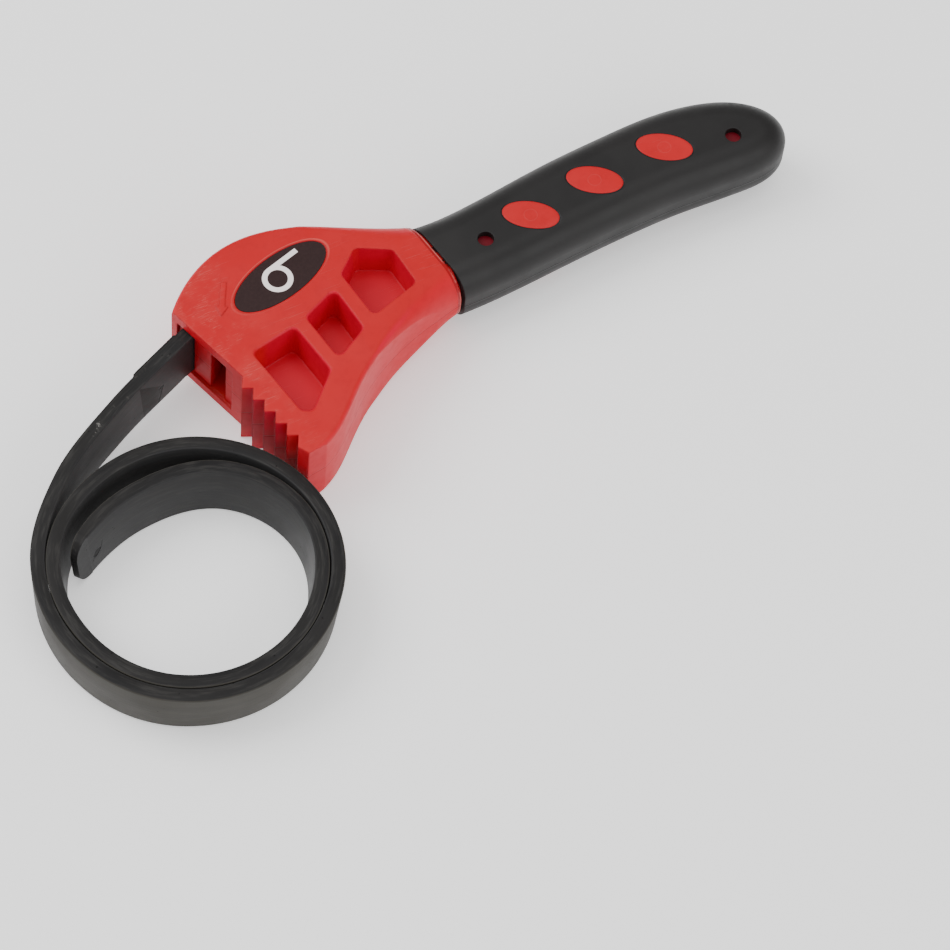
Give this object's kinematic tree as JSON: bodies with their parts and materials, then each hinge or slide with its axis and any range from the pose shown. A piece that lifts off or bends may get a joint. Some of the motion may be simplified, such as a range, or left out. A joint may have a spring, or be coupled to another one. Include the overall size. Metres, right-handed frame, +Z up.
{
  "type": "strap wrench",
  "caption": "Strap wrench with a toothed moulded head, cored pockets, soft oval-windowed grip and a wide rubber strap coiled in front of the teeth; the strap opens for larger pipes and jars.",
  "frame": {"origin": "centre of the bounding box in plan, on the table the wrench lies on", "axes": "+X along the handle away from the strap, +Y towards the curved back of the head, +Z up through the head's thickness"},
  "size_m": [0.3545, 0.1727, 0.0373],
  "materials": {
    "red_nylon": "satin",
    "black_grip_rubber": "satin",
    "strap_rubber": "matte",
    "label_film": "satin",
    "pin_steel": "satin"
  },
  "bodies": {
    "wrench_body": {"head_and_core_moulding": "red_nylon", "grip_overmould": "black_grip_rubber", "oval_label": "label_film", "strap_anchor_pin": "pin_steel", "strap_anchor_end": "strap_rubber"},
    "strap_link_01": {"strap_link_01": "strap_rubber"},
    "strap_link_02": {"strap_link_02": "strap_rubber"},
    "strap_link_03": {"strap_link_03": "strap_rubber"},
    "strap_link_04": {"strap_link_04": "strap_rubber"},
    "strap_link_05": {"strap_link_05": "strap_rubber"},
    "strap_link_06": {"strap_link_06": "strap_rubber"},
    "strap_link_07": {"strap_link_07": "strap_rubber"},
    "strap_link_08": {"strap_link_08": "strap_rubber"},
    "strap_link_09": {"strap_link_09": "strap_rubber"},
    "strap_link_10": {"strap_link_10": "strap_rubber"},
    "strap_link_11": {"strap_link_11": "strap_rubber"},
    "strap_link_12": {"strap_link_12": "strap_rubber"},
    "strap_link_13": {"strap_link_13": "strap_rubber"},
    "strap_link_14": {"strap_link_14": "strap_rubber"},
    "strap_link_15": {"strap_link_15": "strap_rubber"},
    "strap_link_16": {"strap_link_16": "strap_rubber"},
    "strap_link_17": {"strap_link_17": "strap_rubber"},
    "strap_link_18": {"strap_link_18": "strap_rubber"},
    "strap_link_19": {"strap_link_19": "strap_rubber"},
    "strap_link_20": {"strap_link_20": "strap_rubber"}
  },
  "joints": [
    {"name": "strap_bend_01", "type": "hinge", "parent": "wrench_body", "child": "strap_link_01", "pos_m": [-0.08363, 0.05734, 0.0185], "axis": [0, 0, -1], "range_deg": [0, 18]},
    {"name": "strap_bend_02", "type": "hinge", "parent": "strap_link_01", "child": "strap_link_02", "pos_m": [-0.1173, 0.0427, 0.0125], "axis": [0, 0, -1], "range_deg": [0, 18]},
    {"name": "strap_bend_03", "type": "hinge", "parent": "strap_link_02", "child": "strap_link_03", "pos_m": [-0.14859, 0.0237, 0.0125], "axis": [0, 0, -1], "range_deg": [0, 18]},
    {"name": "strap_bend_04", "type": "hinge", "parent": "strap_link_03", "child": "strap_link_04", "pos_m": [-0.17085, -0.00472, 0.0125], "axis": [0, 0, -1], "range_deg": [0, 18]},
    {"name": "strap_bend_05", "type": "hinge", "parent": "strap_link_04", "child": "strap_link_05", "pos_m": [-0.17321, -0.04092, 0.0125], "axis": [0, 0, -1], "range_deg": [0, 18]},
    {"name": "strap_bend_06", "type": "hinge", "parent": "strap_link_05", "child": "strap_link_06", "pos_m": [-0.15409, -0.07148, 0.0125], "axis": [0, 0, -1], "range_deg": [0, 18]},
    {"name": "strap_bend_07", "type": "hinge", "parent": "strap_link_06", "child": "strap_link_07", "pos_m": [-0.12015, -0.08366, 0.0125], "axis": [0, 0, -1], "range_deg": [0, 18]},
    {"name": "strap_bend_08", "type": "hinge", "parent": "strap_link_07", "child": "strap_link_08", "pos_m": [-0.08594, -0.07224, 0.0125], "axis": [0, 0, -1], "range_deg": [0, 18]},
    {"name": "strap_bend_09", "type": "hinge", "parent": "strap_link_08", "child": "strap_link_09", "pos_m": [-0.06614, -0.04212, 0.0125], "axis": [0, 0, -1], "range_deg": [0, 18]},
    {"name": "strap_bend_10", "type": "hinge", "parent": "strap_link_09", "child": "strap_link_10", "pos_m": [-0.07087, -0.00642, 0.0125], "axis": [0, 0, -1], "range_deg": [0, 18]},
    {"name": "strap_bend_11", "type": "hinge", "parent": "strap_link_10", "child": "strap_link_11", "pos_m": [-0.0972, 0.01791, 0.0125], "axis": [0, 0, -1], "range_deg": [0, 18]},
    {"name": "strap_bend_12", "type": "hinge", "parent": "strap_link_11", "child": "strap_link_12", "pos_m": [-0.13339, 0.01987, 0.0125], "axis": [0, 0, -1], "range_deg": [0, 18]},
    {"name": "strap_bend_13", "type": "hinge", "parent": "strap_link_12", "child": "strap_link_13", "pos_m": [-0.16249, -0.00082, 0.0125], "axis": [0, 0, -1], "range_deg": [0, 18]},
    {"name": "strap_bend_14", "type": "hinge", "parent": "strap_link_13", "child": "strap_link_14", "pos_m": [-0.16824, -0.03638, 0.0125], "axis": [0, 0, -1], "range_deg": [0, 18]},
    {"name": "strap_bend_15", "type": "hinge", "parent": "strap_link_14", "child": "strap_link_15", "pos_m": [-0.15001, -0.06731, 0.0125], "axis": [0, 0, -1], "range_deg": [0, 18]},
    {"name": "strap_bend_16", "type": "hinge", "parent": "strap_link_15", "child": "strap_link_16", "pos_m": [-0.11566, -0.07771, 0.0125], "axis": [0, 0, -1], "range_deg": [0, 18]},
    {"name": "strap_bend_17", "type": "hinge", "parent": "strap_link_16", "child": "strap_link_17", "pos_m": [-0.08336, -0.06205, 0.0125], "axis": [0, 0, -1], "range_deg": [0, 18]},
    {"name": "strap_bend_18", "type": "hinge", "parent": "strap_link_17", "child": "strap_link_18", "pos_m": [-0.07113, -0.0286, 0.0125], "axis": [0, 0, -1], "range_deg": [0, 18]},
    {"name": "strap_bend_19", "type": "hinge", "parent": "strap_link_18", "child": "strap_link_19", "pos_m": [-0.089, 0.00222, 0.0125], "axis": [0, 0, -1], "range_deg": [0, 18]},
    {"name": "strap_bend_20", "type": "hinge", "parent": "strap_link_19", "child": "strap_link_20", "pos_m": [-0.12424, 0.00891, 0.0125], "axis": [0, 0, -1], "range_deg": [0, 18]}
  ],
  "couplings": [
    {"joint": "strap_bend_02", "follows": "strap_bend_01", "ratio": 1},
    {"joint": "strap_bend_03", "follows": "strap_bend_01", "ratio": 1},
    {"joint": "strap_bend_04", "follows": "strap_bend_01", "ratio": 1},
    {"joint": "strap_bend_05", "follows": "strap_bend_01", "ratio": 1},
    {"joint": "strap_bend_06", "follows": "strap_bend_01", "ratio": 1},
    {"joint": "strap_bend_07", "follows": "strap_bend_01", "ratio": 1},
    {"joint": "strap_bend_08", "follows": "strap_bend_01", "ratio": 1},
    {"joint": "strap_bend_09", "follows": "strap_bend_01", "ratio": 1},
    {"joint": "strap_bend_10", "follows": "strap_bend_01", "ratio": 1},
    {"joint": "strap_bend_11", "follows": "strap_bend_01", "ratio": 1},
    {"joint": "strap_bend_12", "follows": "strap_bend_01", "ratio": 1},
    {"joint": "strap_bend_13", "follows": "strap_bend_01", "ratio": 1},
    {"joint": "strap_bend_14", "follows": "strap_bend_01", "ratio": 1},
    {"joint": "strap_bend_15", "follows": "strap_bend_01", "ratio": 1},
    {"joint": "strap_bend_16", "follows": "strap_bend_01", "ratio": 1},
    {"joint": "strap_bend_17", "follows": "strap_bend_01", "ratio": 1},
    {"joint": "strap_bend_18", "follows": "strap_bend_01", "ratio": 1},
    {"joint": "strap_bend_19", "follows": "strap_bend_01", "ratio": 1},
    {"joint": "strap_bend_20", "follows": "strap_bend_01", "ratio": 1}
  ]
}
